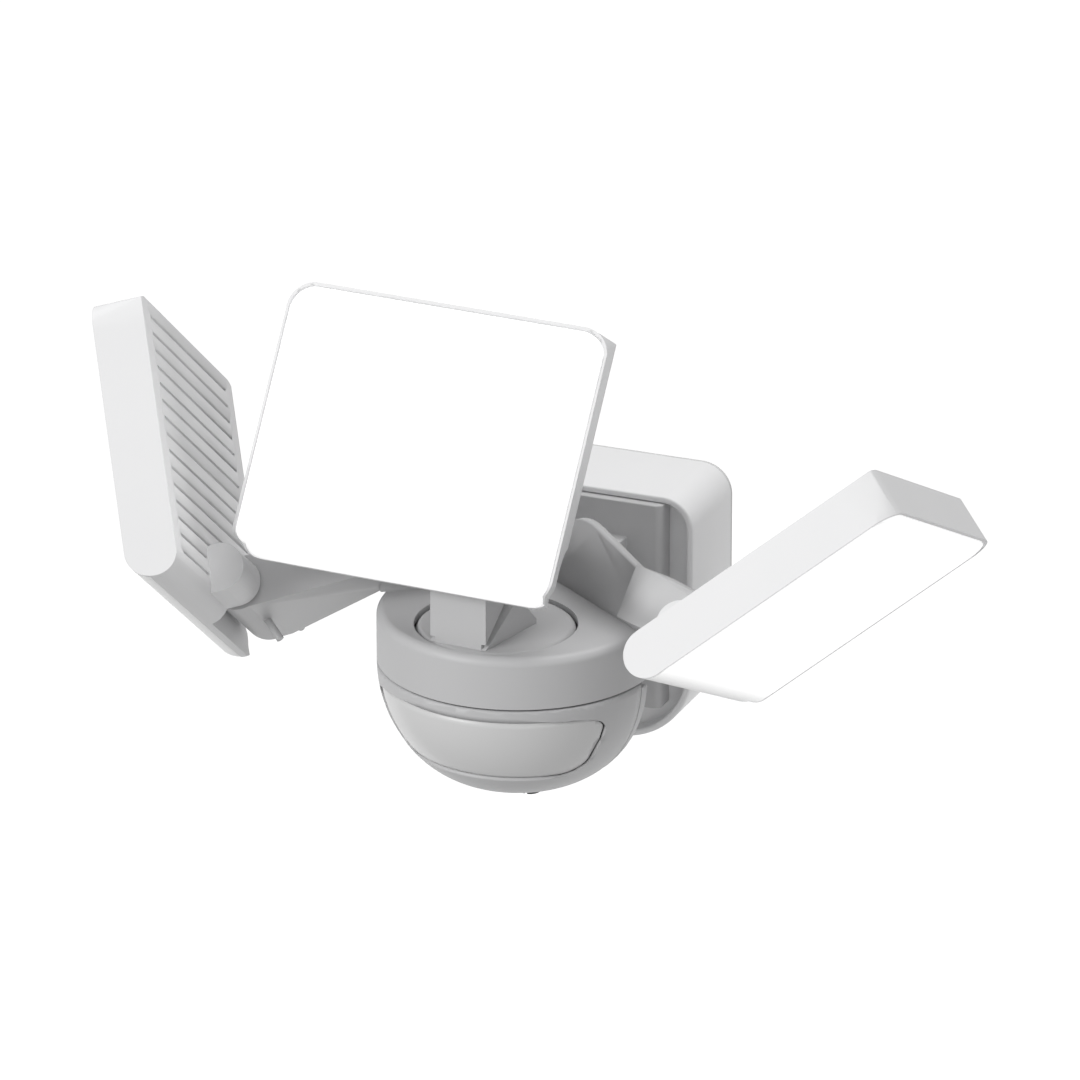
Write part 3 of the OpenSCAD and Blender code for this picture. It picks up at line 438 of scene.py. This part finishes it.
# Lamp heads
# Three of a kind: a white shell with a grooved back, an opal lens that wraps over the mount
# end, a rubber seal, a board with small lamps, a tilt bolt and a rubber washer. The front of
# the lens glows as painted light, standing in for the light that falls on it; its wrap over
# the mount end, which lies in shade, doesn't.
head_white = plastic("head_white", (0.72, 0.72, 0.725), rough=0.5)
rubber = plastic("rubber", (0.03, 0.03, 0.03), rough=0.8)
board_white = plastic("board_white", (0.75, 0.76, 0.74), rough=0.4)
phosphor = plastic("phosphor", (0.85, 0.65, 0.1), rough=0.35)
head_middle, head_half, head_low = -0.01, 0.071, -0.015
# Two cuts keep the small faces of the rounded corners off the long flat ones.
shell_corner, rim_cut = 0.0127, -0.0044
groove_floor, groove_drop, on_floor = -0.0055, 0.0006, 0.00001
cad_corner, lens_inset, lens_gap = 0.003, 0.0013, 0.0006
corner_steps, corner_turn = 7, 15
# Strength of the painted light that makes each lens front glow as lit, and the height over which
# it fades in.
lens_painted_light, painted_light_fade = 0.5, 0.008
# A head's own frame runs across, up to its free end and back. "corners" are the radii of its
# two mount corners, and the last entry is how far below the pivot the painted glow on the lens
# starts.
heads = {
    "left": {
        "length": 0.118,
        "pivot": (-0.1096, -0.13, 0.0253),
        "across": (-0.0688, 0.8046, -0.5898),
        "up": (-0.3741, 0.5273, 0.7629),
        "behind": (0.9248, 0.2732, 0.2647),
        "corners": (0, 0.01),
        "painted_light_drop": 0.01,
    },
    "centre": {
        "length": 0.122,
        "pivot": (-0.0189, -0.1337, 0.051),
        "across": (0.9984, -0.0565, 0),
        "up": (0.0301, 0.5313, 0.8466),
        "behind": (0.0478, 0.8453, -0.5322),
        "corners": (0.011, 0.011),
        "painted_light_drop": 0.04,
    },
    "right": {
        "length": 0.113,
        "pivot": (0.0989, -0.151, 0.0453),
        "across": (-0.0314, 0.9003, -0.4341),
        "up": (0.7385, 0.3136, 0.5969),
        "behind": (-0.6735, 0.3019, 0.6747),
        "corners": (0, 0.01),
        "painted_light_drop": 0.01,
    },
}


def corner_move(out, down, wide, tall, curve):
    """Where a place in the square corner goes when the corner is rounded: the square's outline,
    itself rounded by the curve, lands on the quarter ellipse of that width and height."""
    u, v = out / wide, down / tall
    reach = max(u, v)
    if min(u, v) > (1 - curve) * reach:
        flat, square = 1 - curve, 2 * (1 - curve) ** 2 - curve ** 2
        inner = (flat * (u + v)) ** 2 - square * (u * u + v * v)
        reach = (flat * (u + v) - math.sqrt(max(0, inner))) / square
    pull = reach / math.hypot(u, v)
    return u * pull * wide - out, down - v * pull * tall


def head_part(side, part, finish, gap):
    """A copy of a head's CAD piece whose corners at the mount end are rounded, seen from the
    front. The grooves in the shell's back are a little deeper, the lens a little smaller."""
    head = heads[side]
    length, corners = head["length"], head["corners"]
    axes = Matrix((head["across"], head["up"], head["behind"])).transposed().to_4x4()
    axes.translation = head["pivot"]
    shape = welded(side + "_" + part)
    bmesh.ops.transform(shape, matrix=axes.inverted(), verts=shape.verts)
    across, up = Vector((1, 0, 0)), Vector((0, 1, 0))
    cuts = [(Vector((0, y, 0)), up) for y in (length + head_low - shell_corner, rim_cut)]
    for sign, corner in zip((-1, 1), corners):
        edge = head_middle + sign * (head_half - shell_corner)
        cuts.append((Vector((edge, 0, 0)), across))
        for step in range(corner_steps if corner else 0):
            inset = corner * (1 - math.sin(math.radians(corner_turn * step)))
            edge = head_middle + sign * (head_half - inset)
            cuts.append((Vector((0, head_low + inset, 0)), up))
            cuts.append((Vector((edge, 0, 0)), across))
    for place, way in cuts:
        score(shape, shape.faces[:], place, way)
    bmesh.ops.triangulate(shape, faces=shape.faces)
    for point in shape.verts:
        if part == "shell" and point.co.y > 0 and abs(point.co.z - groove_floor) < on_floor:
            point.co.z -= groove_drop
        for sign, corner in zip((-1, 1), corners):
            out = sign * (point.co.x - head_middle) - (head_half - corner)
            down = head_low + corner - point.co.y
            if corner and out > 0 and down > 0:
                if part == "lens":
                    move = corner_move(out, down, corner - lens_inset, corner, 0)
                else:
                    move = corner_move(out, down, corner, corner, cad_corner / corner)
                point.co.x += sign * move[0]
                point.co.y += move[1]
        if gap:
            point.co.x = head_middle + (point.co.x - head_middle) * (1 - gap / head_half)
            point.co.y = head_low + (point.co.y - head_low) * (1 - gap / length)
    bmesh.ops.transform(shape, matrix=axes, verts=shape.verts)
    piece = made(shape, side + "_head_" + part, finish, crease=24)
    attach(piece, rides_on[side + "_" + part])
    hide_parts(side + "_" + part)


for side, head in heads.items():
    head_part(side, "shell", head_white, gap=0)
    opal = plastic(side + "_opal", (0.93, 0.93, 0.93), rough=0.45, painted_glow=lens_painted_light)
    tree = opal.node_tree
    place = next(node for node in tree.nodes if node.type == "TEX_COORD")
    # The painted light starts a given drop below the pivot and fades in upwards, so the lens
    # front glows as lit and its wrap over the mount end, which lies in shade, doesn't.
    height = tree.nodes.new("ShaderNodeVectorMath")
    height.operation = "DOT_PRODUCT"
    height.inputs[1].default_value = head["up"]
    painted_light_foot = Vector(head["pivot"]).dot(Vector(head["up"])) - head["painted_light_drop"]
    painted_light_ramp = tree.nodes.new("ShaderNodeMapRange")
    painted_light_ramp.inputs["From Min"].default_value = painted_light_foot
    painted_light_ramp.inputs["From Max"].default_value = painted_light_foot + painted_light_fade
    painted_light_ramp.inputs["To Max"].default_value = lens_painted_light
    tree.links.new(place.outputs["Object"], height.inputs[0])
    tree.links.new(height.outputs["Value"], painted_light_ramp.inputs["Value"])
    shader = tree.nodes["Principled BSDF"]
    tree.links.new(painted_light_ramp.outputs["Result"], shader.inputs["Emission Strength"])
    head_part(side, "lens", opal, gap=lens_gap)
    finished(side + "_seal", rubber)
    finished(side + "_board", board_white)
    finished(side + "_chips", phosphor)
    finished(side + "_bolt", zinc)
    finished(side + "_washer", rubber)
